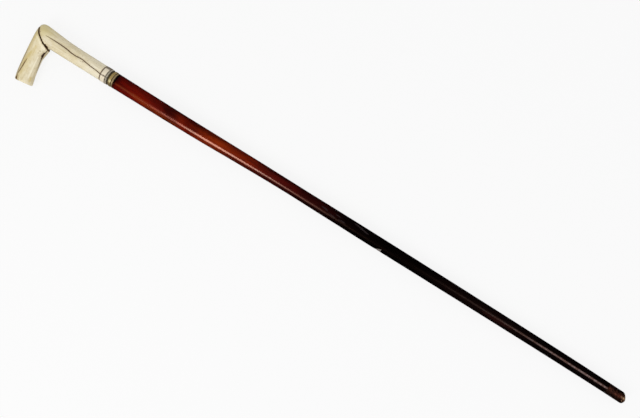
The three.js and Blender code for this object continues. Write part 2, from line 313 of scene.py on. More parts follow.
def remeshed(bm, voxel, passes):
    # an even skin over the same solid, with its facets smoothed away
    mesh = bpy.data.meshes.new("rough")
    bm.to_mesh(mesh)
    rough = addObject("rough", mesh)
    modifier = rough.modifiers.new("skin", "REMESH")
    modifier.mode = "VOXEL"
    modifier.voxel_size = voxel
    skin = bpy.data.meshes.new_from_object(rough.evaluated_get(bpy.context.evaluated_depsgraph_get()))
    bm.clear()
    bm.from_mesh(skin)
    bpy.data.objects.remove(rough)
    bpy.data.meshes.remove(mesh)
    bpy.data.meshes.remove(skin)
    everyWay = {"use_axis_x": True, "use_axis_y": True, "use_axis_z": True}
    for step in range(passes):
        bmesh.ops.smooth_vert(bm, verts=bm.verts, factor=0.5, **everyWay)
    return bm


def placesOf(bm):
    return np.array([vertex.co for vertex in bm.verts])


def setLayer(bm, name, values, kind="float"):
    layers = getattr(bm.verts.layers, kind)
    layer = layers.get(name) or layers.new(name)
    for vertex, value in zip(bm.verts, values):
        vertex[layer] = value


def layerValues(bm, name):
    layer = bm.verts.layers.float.get(name)
    return np.array([vertex[layer] for vertex in bm.verts])


def raiseLayer(bm, name, values):
    # lifts a layer where the new values are higher
    setLayer(bm, name, np.maximum(layerValues(bm, name), values))


def rise(values, strength, none, whole):
    # from nothing at one value smoothly to the whole strength at another, above or below it
    share = np.clip((values - none) / (whole - none), 0, 1)
    return strength * share * share * (3 - 2 * share)


def placeOn(tree, along, across):
    # the place on a surface that the photograph shows at a point, or nothing beside the surface
    return tree.ray_cast(Vector(view["place"]), photoRay(along, across))[0]


def routeOn(tree, route):
    # the photographed route laid on a surface: places and half widths
    camera = Vector(view["place"])
    spots = []
    for along, across, width in route:
        place = placeOn(tree, along, across)
        if place is None:
            place = tree.find_nearest(camera + photoRay(along, across) * camera.z)[0]
        spots.append((np.array(place), width * photo["pixel"]))
    return spots


def nearness(places, spots):
    # distance to a route as a share of its half width there
    best = np.full(len(places), 9.0)
    for (start, startWidth), (end, endWidth) in zip(spots, spots[1:]):
        span = end - start
        share = np.clip((places - start) @ span / (span @ span), 0, 1)
        gap = np.linalg.norm(places - start - share[:, None] * span, axis=1)
        best = np.minimum(best, gap / (startWidth + (endWidth - startWidth) * share))
    return best


def gapTo(bm, nodeName, reach):
    other = copyOf(nodeName)
    tree = BVHTree.FromBMesh(other)
    other.free()
    gaps = [tree.find_nearest(vertex.co, reach)[3] for vertex in bm.verts]
    return np.array([reach if gap is None else gap for gap in gaps])


def waves(places, amount, size, seed):
    # smooth noise from -amount to amount at each place
    offset = Vector((seed, seed * 0.37, seed * 1.9))
    return amount * np.array([noise.noise(Vector(place) / size + offset) for place in places])


def marksOn(tree, places, marks):
    # how strongly a piece's marks of one kind show at each place, with an outline made ragged by waves
    ragged = 1 + waves(places * marks.get("stretch", 1), *marks.get("ragged", (0, mm, 0)))
    return np.max([
        rise(nearness(places, routeOn(tree, route)) * ragged, strength, *marks["edge"])
        for strength, route in marks["routes"]
    ], axis=0)


def pushIn(bm, depths):
    bm.normal_update()
    for vertex, depth in zip(bm.verts, depths):
        if depth:
            vertex.co -= vertex.normal * float(depth)


def refineNear(bm, spots, reach):
    # smaller faces along a route
    near = nearness(placesOf(bm), [(place, reach) for place, width in spots]) < 1
    bm.verts.index_update()
    edges = [edge for edge in bm.edges if all(near[vertex.index] for vertex in edge.verts)]
    bmesh.ops.subdivide_edges(bm, edges=edges, cuts=1, use_grid_fill=True)


def addPiece(name, bm, material, slotName, *replaced):
    mesh = bpy.data.meshes.new(name)
    bm.to_mesh(mesh)
    bm.free()
    mesh.shade_smooth()
    mesh.materials.append(material)
    piece = addObject(name, mesh)
    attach(piece, "root")
    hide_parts(*replaced)
    print(name, "made:", len(mesh.vertices), "vertices")


# Bone handle
# A route is a line of points, each in pixels along and across the stick with a half width in pixels.
# Marks are strengths and routes. Their edge says where a mark ends and where it is whole, in half widths.
# A setting for rise holds its strength, none and whole, and one for waves its amount, size and seed.
handle = {
    "voxel": 0.45 * mm,
    "passes": 7,
    "armAngle": math.radians(82),
    "fineReach": 1.4 * mm,  # how far from a crack the faces are smaller
    "gapLimit": 6 * mm,  # how far a neighbouring piece is looked for
    "ragged": (0.35, 1.3 * mm, 3),
    "uneven": (0.07 * mm, 9 * mm, 1),
    "cracks": {  # strength, depth, edge, dirt beside it and route
        "stem": (0.85, 0.3 * mm, (1.5, 0.6), 0.3, [
            (-79.5, -0.5, 0.1), (-75, -0.6, 0.2), (-71, -0.6, 0.3), (-65.2, -0.6, 0.4), (-58, -0.3, 0.46),
            (-52.7, 0.3, 0.46), (-47.5, 1, 0.46), (-43.9, 1.1, 0.42), (-41.2, 1, 0.5), (-40, 0.7, 0.44),
            (-36.1, 0.5, 0.42), (-30.8, 1.3, 0.42), (-25.8, 1.9, 0.38), (-19.5, 2.4, 0.38),
            (-14.2, 3.1, 0.46), (-12.4, 3.5, 0.6),
        ]),
        "arm": (0.75, 0.25 * mm, (1.5, 0.6), 0.3, [
            (-83.2, 29, 0.15), (-83.3, 33, 0.4), (-83.2, 38, 0.46), (-83.3, 43, 0.46), (-83.3, 46, 0.3),
            (-82.9, 47.8, 0.3), (-82.7, 49.4, 0.8), (-82.3, 51, 1.3),
        ]),
        "gouge": (1, 0.8 * mm, (1.5, 0.6), 0.3, [
            (-69.9, 11.5, 0.45), (-70.3, 14, 0.4), (-71.2, 16.2, 1.1), (-71.2, 18.2, 1.4), (-70.8, 20.4, 1),
            (-70.5, 22.8, 0.5), (-70, 26, 0.34), (-69, 31, 0.22), (-67.9, 36, 0.12),
        ]),
        "heel": (0.65, 0.2 * mm, (1.5, 0.6), 0.3, [
            (-89.2, -4.4, 0.5), (-88.2, -2.2, 0.6), (-86.8, 0, 0.4), (-85.2, 1.8, 0.2),
        ]),
        "chip": (0.8, 0.45 * mm, (1.2, 0.8), 0, [
            (-78, 7.6, 0.8), (-75.2, 8.1, 1.2), (-72.8, 8.8, 1.5), (-71, 9.8, 1), (-68, 9.7, 0.6),
        ]),
    },
    "crackDirt": (5, 1),  # where that dirt ends and is whole, in the crack's half widths
    # what rises towards the joint between the limbs, by distance from the other limb
    "jointLine": {"handle_stem": (0.76, 1.2 * mm, 0.4 * mm), "handle_arm": (0.76, 1.6 * mm, 0.4 * mm)},
    "jointWear": (0.4 * mm, 0.9 * mm, 0.3 * mm),
    "jointDirt": (0.3, 2.2 * mm, 0.6 * mm),
    "collarLine": (0.76, 1.4 * mm, 0.5 * mm),  # the dark line at the collar, by distance from it
    "fleckEdge": (0.45, 1.4, 0.5),  # in the fleck's radii
    "flecks": [
        (-34.4, 2.5, 0.5), (-33.2, 1.8, 0.4), (-36.3, 3, 0.3), (-61.8, -0.9, 0.5), (-77, 4.6, 0.4),
        (-76, 15.8, 0.5), (-22, -3.8, 0.3), (-54, 3.8, 0.3), (-47, -4, 0.3), (-86, -1, 0.4),
    ],
    "stain": {
        "edge": (1.1, 0), "ragged": (0.35, 3 * mm, 4),
        "routes": [
            (0.6, [(-83.2, 20, 1.6), (-83.8, 25, 4.2), (-83.8, 30, 4.4), (-83.4, 38, 2.8)]),
            (0.6, [(-69.6, 43.5, 1.8), (-69.2, 47, 2.2)]),
            (0.42, [(-82.2, 14, 1.5), (-82, 20, 4), (-81.8, 30, 4.6), (-81.6, 40, 4.6), (-81.6, 50, 4)]),
            (0.42, [(-88.6, 3, 2.4), (-88.2, 8, 4), (-87.6, 14, 4.6), (-86.6, 20, 3.6)]),
        ],
    },
    # painted shade along the arm's outer edge
    "outerEdgeShade": {
        "edge": (1.1, 0), "ragged": (0.4, 2 * mm, 7),
        "routes": [
            (0.75, [(-87.7, 20.5, 0.8), (-87, 25, 1.6), (-86.3, 32, 1.6), (-85.5, 38, 1.5), (-84, 47, 1.3)]),
        ],
    },
    # painted highlights: a bright streak down the arm, and a pale rim along the arm below the joint
    "highlightStreak": {
        "edge": (1.4, 0.2),
        "routes": [
            (0.8, [(-74.4, 22, 0.4), (-73.8, 30, 0.8), (-73, 37, 0.9), (-72, 45, 0.6)]),
            (0.4, [(-87, 4.6, 0.5), (-83, 7.2, 0.9), (-79, 10, 1.2), (-75, 12.2, 1), (-72.5, 13.2, 0.6)]),
        ],
    },
    "cool": {
        "edge": (1.5, 0),
        "routes": [(0.3, [(-80.5, 2.2, 1.5), (-77.5, 3.2, 3), (-74, 4.2, 3.4), (-70.5, 5.5, 2.5)])],
    },
    "outerSide": (0.85, 0.06, 0.6),  # painted shade on the arm's sides, by how steep they are
    "innerSide": (0.3, 0.3, 0.85),
    "outwards": (0.28, 0.1, 0.5),  # the outer one once more, by how far it faces outwards
    # painted shade on the stem's far and near halves, by distance from its crack, the far one also by height
    "farHalf": (0.2, -0.5 * mm, 1 * mm),
    "farHeight": (1, 8 * mm, 14 * mm),
    "nearHalf": (0.32, 0.5 * mm, 2.5 * mm),
    "heelPale": (0.65, -416 * mm, -431 * mm),  # the share of the far half's shade that is gone at the heel
    "collarPale": (0.3, -386 * mm, -362 * mm),  # how much paler the stem is at the collar
    "collarClear": (0.8, -386 * mm, -362 * mm),  # and the share of that shade that is gone there
    "mitreEnds": ((-452.9 * mm, 33.2 * mm), (-426.9 * mm, 13.7 * mm)),
    # how far the glued joint dips towards the arm, in millimetres by share of its length
    "mitreSag": [
        (0, -1.3), (0.1, -1.1), (0.2, -0.5), (0.3, 0.3), (0.4, 0.95), (0.6, 0.75), (0.8, 0.6), (0.9, -0.05),
        (1, -0.3),
    ],
    "sagReach": 5 * mm,
    # how far the arm's inner corner stands out, and where, along and across
    "beak": (2.1 * mm, -434 * mm, -427.5 * mm),
    "beakAcross": (1, -5 * mm, 11 * mm),
    "yellowed": ((-440 * mm, 33 * mm, 20 * mm), 26 * mm),  # the heel: centre and radius
    "noises": {  # as in noisesOf
        "fibres": ((0.12, 1, 1), 900, 3, 0.6),
        "veins": ((0.12, 1, 1), 260, 4, 0.6, 0.4),
        "sparse": ((1, 1, 1), 90, 2),
    },
    "clouds": {"Scale": 110, "Contrast": 3.2},
    "dots": {"Scale": 240, "Randomness": 1},
    "bump": (0.05 * mm, 0.6),
    # colours as the eye reads them, from 0 to 255
    "bone": ((234, 226, 200), (218, 204, 166)),
    "tones": {
        "veins": (200, 185, 143), "fibres": (196, 180, 140), "heel": (204, 190, 132),
        "shade": (188, 172, 134), "stain": (194, 170, 92), "highlightStreak": (244, 236, 210), "pale": (234, 229, 214),
        "specks": (140, 112, 76), "dirtAndShade": (144, 124, 80), "crackEdge": (122, 94, 62),
        "crackFloor": (52, 34, 24),
    },
}


def boneMaterial():
    material, tree, shader = newMaterial("agedBone", IOR=1.5, Specular_IOR_Level=0.45)
    fibre = layerOf(tree, "fibre", "Vector")
    noises = noisesOf(fibre, handle["noises"])
    clouds = useGroup(mottleGroup, Vector=fibre, **handle["clouds"])["Mask"]
    dots = derive("TexVoronoi", {"Vector": fibre, **handle["dots"]})["Distance"]
    specks = times(rangeOf(dots, 0.2, 0.08), rangeOf(noises["sparse"], 0.5, 0.62))
    crack = layerOf(tree, "crack")
    masks = {
        "veins": rangeOf(noises["veins"], 0.5, 0.64, 0, 0.75),
        "fibres": rangeOf(noises["fibres"], 0.52, 0.68, 0, 0.5),
        "heel": times(spotOf(objectPlace(tree), *handle["yellowed"]), 0.75),
        "specks": times(specks, 0.7),
        "crackEdge": rangeOf(crack, 0, 0.6),
        "crackFloor": rangeOf(crack, 0.6, 1),
    }
    colour = mixOf(clouds, *[paint(*tone) for tone in handle["bone"]])
    drive(
        shader, Base_Color=coated(colour, handle["tones"], masks),
        Roughness=rangeOf(clouds, 0, 1, 0.34, 0.46),
        Normal=bumpOf(minus(noises["fibres"], specks), *handle["bump"]),
    )
    return material


def fibreOf(places, angle):
    # coordinates whose first axis runs along a limb
    return places @ np.array(Matrix.Rotation(angle, 3, "Z")).T


def bendJoint(bm, hasBeak):
    # the mitre as it was cut by hand: it sags, and the arm's inner corner stands out past the stem
    start, end = [Vector((*place, 0)) for place in handle["mitreEnds"]]
    span = end - start
    line = span.normalized()
    towardsArm = line.cross(Vector((0, 0, 1)))
    sagShares, sags = zip(*handle["mitreSag"])
    for vertex in bm.verts:
        reach = vertex.co - start
        share = reach.dot(line) / span.length
        gap = reach.dot(towardsArm) / handle["sagReach"]
        vertex.co += towardsArm * float(np.interp(share, sagShares, sags) * mm * math.exp(-gap * gap))
    if hasBeak:
        places = placesOf(bm)
        beak = rise(places[:, 0], *handle["beak"]) * rise(places[:, 1], *handle["beakAcross"])
        for vertex, length in zip(bm.verts, beak):
            vertex.co += line * float(length)


def shapeBone(nodeName, neighbour, crackNames, angle):
    bm = remeshed(copyOf(nodeName), handle["voxel"], handle["passes"])
    setLayer(bm, "joint", gapTo(bm, neighbour, handle["gapLimit"]))
    bendJoint(bm, "gouge" in crackNames)
    tree = BVHTree.FromBMesh(bm)
    routes = {name: routeOn(tree, handle["cracks"][name][-1]) for name in crackNames}
    for spots in routes.values():
        refineNear(bm, spots, handle["fineReach"])
    places = placesOf(bm)
    ragged = 1 + waves(places, *handle["ragged"])
    jointGap = layerValues(bm, "joint") * ragged
    depth = waves(places, *handle["uneven"]) + rise(jointGap, *handle["jointWear"])
    crack = rise(jointGap, *handle["jointLine"][nodeName])
    dirtAndShade = rise(jointGap, *handle["jointDirt"])
    for name, spots in routes.items():
        strength, deepest, edge, dirtBeside = handle["cracks"][name][:-1]
        share = nearness(places, spots) * ragged
        depth += deepest * np.clip(1 - share ** 2, 0, 1)
        crack = np.maximum(crack, rise(share, strength, *edge))
        dirtAndShade = np.maximum(dirtAndShade, rise(share, dirtBeside, *handle["crackDirt"]))
    for along, across, radius in handle["flecks"]:
        place = placeOn(tree, along, across)
        if place is not None:
            gap = np.linalg.norm(places - np.array(place), axis=1) / (radius * photo["pixel"])
            crack = np.maximum(crack, rise(gap * ragged, *handle["fleckEdge"]))
    pushIn(bm, depth)
    setLayer(bm, "crack", crack)
    setLayer(bm, "dirtAndShade", dirtAndShade)
    setLayer(bm, "fibre", fibreOf(places, angle), "float_vector")
    return bm, places, routes


def makeStem(material):
    bm, places, routes = shapeBone("handle_stem", "handle_arm", ["stem", "heel", "chip"], 0)
    along = places[:, 0]
    line = np.array([place for place, width in routes["stem"]])
    across = places[:, 1] - np.interp(along, line[:, 0], line[:, 1])
    # painted shade on the far and near halves
    far = rise(across, *handle["farHalf"]) * rise(places[:, 2], *handle["farHeight"])
    far *= (1 - rise(along, *handle["heelPale"])) * (1 - rise(along, *handle["collarClear"]))
    setLayer(bm, "shade", far + rise(-across, *handle["nearHalf"]))
    cool = marksOn(BVHTree.FromBMesh(bm), places, handle["cool"])
    setLayer(bm, "pale", np.maximum(rise(along, *handle["collarPale"]), cool))
    raiseLayer(bm, "crack", rise(gapTo(bm, "silver_collar", handle["gapLimit"]), *handle["collarLine"]))
    addPiece("boneStem", bm, material, "bone", "handle_stem")


def makeArm(material):
    cracks = ["arm", "gouge", "heel", "chip"]
    bm, places = shapeBone("handle_arm", "handle_stem", cracks, handle["armAngle"])[:2]
    tree = BVHTree.FromBMesh(bm)
    bm.normal_update()
    normals = np.array([vertex.normal for vertex in bm.verts])
    # painted shade on the arm's sides, by how steep they are and how far they face outwards
    steep = 1 - np.abs(normals[:, 2])
    outer = rise(steep, *handle["outerSide"]) + rise(-normals[:, 0], *handle["outwards"])
    outer = np.minimum(outer, handle["outerSide"][0])
    setLayer(bm, "shade", np.where(normals[:, 0] < 0, outer, rise(steep, *handle["innerSide"])))
    # the painted shade along the outer edge goes into the layer that also holds the dirt beside cracks and
    # the joint
    raiseLayer(bm, "dirtAndShade", marksOn(tree, places, handle["outerEdgeShade"]))
    # the stains, and the painted highlight streaks
    for name in ("stain", "highlightStreak"):
        setLayer(bm, name, marksOn(tree, places, handle[name]))
    addPiece("boneArm", bm, material, "bone", "handle_arm")


bone = boneMaterial()
makeStem(bone)
makeArm(bone)


# Collar
collar = {
    "sides": 144,
    "touch": 0.02 * mm,  # how near a radius a turned edge lies on it
    "bevelAngle": math.radians(40),  # flatter edges stay sharp
    "silverEdge": 0.45 * mm,
    "silverSteps": 13,
    "silverDent": (0.06 * mm, 5 * mm, 8),
    "silverReach": 0.6 * mm,  # how far the silver laps over the milled ring
    "brassEdge": 0.5 * mm,
    "brassDent": (0.03 * mm, 4 * mm, 5),
    "rimSteps": 10,
    "rimDent": (0.03 * mm, 4 * mm, 6),
    "milledSteps": 6,
    "beads": 36,
    "beadSteps": 8,
    "beadDepth": 0.5 * mm,
    "beadSlant": 0.5,  # how far a bead leans across the ring, in beads
    "beadEnds": (0.08, 0.92),  # where the beads end, by share of the ring's width
    "beadDark": (1, 0.25, 0.8),  # how dark the gaps are, by share of the depth
    "grooveLow": 2.3 * mm,
    "grooveHigh": 0.5 * mm,
    "grooveDepth": 0.7 * mm,
    "grooveSlopes": (0.4 * mm, 0.3 * mm),
    "grooveDark": 0.15,  # the share of the depth where the dark begins
    "pinSides": 24,
    "pinEdge": 0.2 * mm,
    "pinDark": 0.8,
    # the dark seam across silver band and milled ring at the pin, and below it a painted shade line along the
    # milled ring's edge
    "seam": [
        [(-12.4, 3.5, 0.7), (-10.8, 3.3, 0.8), (-9.3, 3.1, 1.2), (-8, 3, 1), (-5.6, 3, 0.9)],
        [(-7.7, 3.1, 0.6), (-7, 4.6, 0.6), (-6.1, 6.3, 0.5)],
    ],
    "seamRagged": (0.3, 1.5 * mm, 3),
    "silverSeam": (0.85, (1.1, 0.3)),  # its strength and edge on either band
    "milledSeam": (0.7, (1.4, 0.4)),
    # the silver's tarnish by distance from its edges and the bone, a painted dark reflection towards the far
    # side and painted shade towards the near side
    "edgeDark": (0.7, 0.8 * mm, 0.1 * mm),
    "boneDark": (0.75, 1.4 * mm, 0.5 * mm),
    "farReflectionDark": (0.85, 0.58, 0.8),
    "nearShade": (0.1, 0.15, 0.45),
    # the brass by pixels across: painted shade on its far and near edges, and the two ends of its paler
    # stretch, a painted highlight
    "brassShade": ((0.42, -4.6, -7), (0.7, 5.2, 7)),
    "rimShade": ((0.36, -4.6, -7), (0.6, 5.2, 7)),
    "rubbedAndSheen": ((0.7, 2.6, 3.6), (1, 6.2, 5)),
    "wear": {"Scale": 420, "Amount": 0.8},
    "clouds": {"Scale": 170, "Contrast": 2.6},
    "scratchTone": 24,  # how much brighter a scratch is
    # the colour of the brass's painted highlight
    "sheenTone": (200, 192, 146),
    "roughRange": 0.14,
    "darkRough": 0.3,
    "darkMetal": 0.4,  # what is left of the metal's gleam in a dark place
    "bump": (0.03 * mm, 0.5),
}


def centreOf(nodeName):
    low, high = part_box(nodeName)
    return (low + high) / 2


collarStart = centreOf("silver_collar")
collarAxis = (centreOf("brass_band") - collarStart).normalized()


def turned(places):
    # stations along the collar's axis and offsets away from it
    reach = np.array(places) - np.array(collarStart)
    stations = reach @ np.array(collarAxis)
    return stations, reach - np.outer(stations, collarAxis)


def radiiOf(places):
    return np.linalg.norm(turned(places)[1], axis=1)


def bandOf(nodeName):
    # where a band starts and ends along the collar's axis, and its bore's and its outer radius
    places = [vertex.co for vertex in nodes[nodeName].data.vertices]
    stations = turned(places)[0]
    radii = radiiOf(places)
    return float(stations.min()), float(stations.max()), float(radii.min()), float(radii.max())


def spinProfile(profile, sides):
    # a closed profile of stations and radii turned about the collar's axis
    bm = bmesh.new()
    up = Vector((0, 0, 1))
    outward = (up - collarAxis * up.dot(collarAxis)).normalized()
    corners = [
        bm.verts.new(collarStart + collarAxis * station + outward * radius) for station, radius in profile
    ]
    edges = [bm.edges.new(pair) for pair in zip(corners, corners[1:] + corners[:1])]
    bmesh.ops.spin(
        bm, geom=corners + edges, cent=collarStart, axis=collarAxis, angle=math.tau, steps=sides,
        use_merge=True,
    )
    bmesh.ops.remove_doubles(bm, verts=bm.verts, dist=0.001 * mm)
    bmesh.ops.recalc_face_normals(bm, faces=bm.faces)
    return bm


def bevelEdges(bm, edges, width):
    bmesh.ops.bevel(bm, geom=edges, offset=width, segments=3, profile=0.5, affect="EDGES", material=-1)


def roundEdges(bm, width, radius):
    # rounds the turned edges that lie at a radius
    onEdge = np.abs(radiiOf(placesOf(bm)) - radius) < collar["touch"]
    bm.verts.index_update()
    edges = [edge for edge in bm.edges if all(onEdge[vertex.index] for vertex in edge.verts)]
    bevelEdges(bm, [edge for edge in edges if edge.calc_face_angle(0) > collar["bevelAngle"]], width)


def dent(bm, depth, size, seed):
    # handling dents, which only go inwards
    pushIn(bm, depth + waves(placesOf(bm), depth, size, seed))


def grooveDark(bm, radius):
    # how far each place lies below the outer radius, from 0 to 1
    depth = collar["grooveDepth"]
    return rise(radius - radiiOf(placesOf(bm)), 1, collar["grooveDark"] * depth, depth)


def seamOn(bm, strength, edge):
    routes = [(strength, route) for route in collar["seam"]]
    marks = {"edge": edge, "ragged": collar["seamRagged"], "routes": routes}
    return marksOn(BVHTree.FromBMesh(bm), placesOf(bm), marks)


def setDark(bm, radius, sides):
    # dark grooves, and painted shade on the far and near edges
    across = seenAt(placesOf(bm))[1]
    setLayer(bm, "recessAndShade", np.max([grooveDark(bm, radius), *[rise(across, *side) for side in sides]], axis=0))


def metalMaterial(name, bright, dull, dark, metallic, roughness):
    material, tree, shader = newMaterial(name)
    place = objectPlace(tree)
    wear = useGroup(wearGroup, Vector=place, **collar["wear"])
    clouds = useGroup(mottleGroup, Vector=place, **collar["clouds"])["Mask"]
    # the hollows' dark patina and the painted shade share one layer
    recessAndShade = layerOf(tree, "recessAndShade")
    scratched = [min(255, value + collar["scratchTone"]) for value in bright]
    tones = {"scratches": scratched, "rubbedAndSheen": collar["sheenTone"], "recessAndShade": dark}
    colour = mixOf(clouds, paint(*bright), paint(*dull))
    rough = rangeOf(clouds, 0, 1, roughness, roughness + collar["roughRange"])
    drive(
        shader, Base_Color=coated(colour, tones, {"scratches": wear["Mask"]}),
        Roughness=plus(rough, times(recessAndShade, collar["darkRough"])),
        Metallic=rangeOf(recessAndShade, 0, 1, metallic, metallic * collar["darkMetal"]),
        Normal=bumpOf(wear["Height"], *collar["bump"]),
    )
    return material


def makeSilver():
    low, high, bore, outer = bandOf("silver_collar")
    high += collar["silverReach"]
    crown = [(station, outer) for station in np.linspace(low, high, collar["silverSteps"])]
    bm = spinProfile([(low, bore), *crown, (high, bore)], collar["sides"])
    roundEdges(bm, collar["silverEdge"], outer)
    places = placesOf(bm)
    dent(bm, *collar["silverDent"])
    station = turned(places)[0]
    side = (places[:, 1] - collarStart.y) / outer
    setLayer(bm, "recessAndShade", np.max([
        rise(np.minimum(station - low, high - station), *collar["edgeDark"]),
        rise(station - low, *collar["boneDark"]),
        # painted dark reflection on the far side, painted shade on the near side
        rise(side, *collar["farReflectionDark"]),
        rise(-side, *collar["nearShade"]),
        seamOn(bm, *collar["silverSeam"]),
    ], axis=0))
    addPiece("silverBand", bm, silver, "silver", "silver_collar")


def makeMilled():
    low, high, bore, outer = bandOf("milled_ring")
    low += collar["silverReach"]
    crown = [(station, outer) for station in np.linspace(low, high, collar["milledSteps"] + 1)]
    bm = spinProfile([(low, bore), *crown, (high, bore)], collar["beads"] * collar["beadSteps"])
    side = collarAxis.cross(Vector((0, 0, 1))).normalized()
    top = side.cross(collarAxis)
    stations, offsets = turned(placesOf(bm))
    radii = np.linalg.norm(offsets, axis=1)
    outside = radii > (bore + outer) / 2
    share = (stations - low) / (high - low)
    angle = np.arctan2(offsets @ np.array(side), offsets @ np.array(top))
    turn = angle * collar["beads"] + collar["beadSlant"] * math.tau * share
    crest = np.sin(math.pi * np.clip(share, *collar["beadEnds"])) ** 0.5
    dip = 1 - np.abs(np.cos(turn / 2)) ** 0.8 * crest
    moves = offsets / radii[:, None] * (collar["beadDepth"] * dip * outside)[:, None]
    for vertex, move in zip(bm.verts, moves):
        vertex.co -= Vector(move)
    gaps = rise(np.where(outside, dip, 1), *collar["beadDark"])
    setLayer(bm, "recessAndShade", np.maximum(gaps, seamOn(bm, *collar["milledSeam"])))
    addPiece("milledRing", bm, oxidised, "silver", "milled_ring")


def makeBrass():
    low, high, bore, outer = bandOf("brass_band")
    neck = outer - collar["grooveDepth"]
    start = low + collar["grooveLow"]
    end = high - collar["grooveHigh"]
    startWidth, endWidth = collar["grooveSlopes"]
    bm = spinProfile([
        (low, bore), (low, neck), (start - startWidth, neck), (start, outer), (end, outer),
        (end + endWidth, neck), (high, neck), (high, bore),
    ], collar["sides"])
    roundEdges(bm, collar["brassEdge"], outer)
    dent(bm, *collar["brassDent"])
    across = seenAt(placesOf(bm))[1]
    far, near = collar["rubbedAndSheen"]
    # a painted highlight: the brass paler along its near side
    setLayer(bm, "rubbedAndSheen", rise(across, *far) * rise(across, *near))
    setDark(bm, outer, collar["brassShade"])
    addPiece("brassBand", bm, brass, "brass", "brass_band")


def makeRim():
    low, high, bore, outer = bandOf("rim_ring")
    middle = (low + high) / 2
    half = (high - low) / 2
    depth = collar["grooveDepth"]
    turns = np.linspace(0, math.pi, collar["rimSteps"] + 1)
    crown = [(middle - half * math.cos(turn), outer - depth * (1 - math.sin(turn))) for turn in turns]
    bm = spinProfile([(low, bore), *crown, (high, bore)], collar["sides"])
    dent(bm, *collar["rimDent"])
    setDark(bm, outer, collar["rimShade"])
    addPiece("rimRing", bm, paleBrass, "brass", "rim_ring")


def makePin():
    inner = bandOf("collar_pin")[2]
    outer = bandOf("silver_collar")[3]
    stations, offsets = turned([centreOf("collar_pin")])
    outward = Vector(offsets[0]).normalized()
    base = collarStart + collarAxis * stations[0]
    low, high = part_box("collar_pin")
    radius = (high.x - low.x) / 2
    turn = Matrix((collarAxis, outward.cross(collarAxis), outward)).transposed().to_4x4()
    bm = bmesh.new()
    bmesh.ops.create_cone(
        bm, cap_ends=True, segments=collar["pinSides"], radius1=radius, radius2=radius,
        depth=outer - inner, matrix=Matrix.Translation(base + outward * (outer + inner) / 2) @ turn,
    )
    rim = outer - collar["touch"]
    top = [edge for edge in bm.edges if all((vertex.co - base).dot(outward) > rim for vertex in edge.verts)]
    bevelEdges(bm, top, collar["pinEdge"])
    bmesh.ops.recalc_face_normals(bm, faces=bm.faces)
    setLayer(bm, "recessAndShade", np.full(len(bm.verts), collar["pinDark"]))
    addPiece("bandPin", bm, brass, "brass", "collar_pin")


silver = metalMaterial("wornSilver", (243, 232, 208), (232, 218, 192), (88, 72, 54), 0.15, 0.34)
oxidised = metalMaterial("oxidisedSilver", (226, 216, 194), (182, 170, 148), (44, 36, 20), 0.3, 0.34)
brass = metalMaterial("agedBrass", (184, 158, 98), (160, 136, 78), (80, 66, 36), 0.3, 0.38)
paleBrass = metalMaterial("paleBrass", (172, 150, 108), (142, 122, 84), (52, 42, 26), 0.3, 0.38)
makeSilver()
makeMilled()
makeBrass()
makeRim()
makePin()


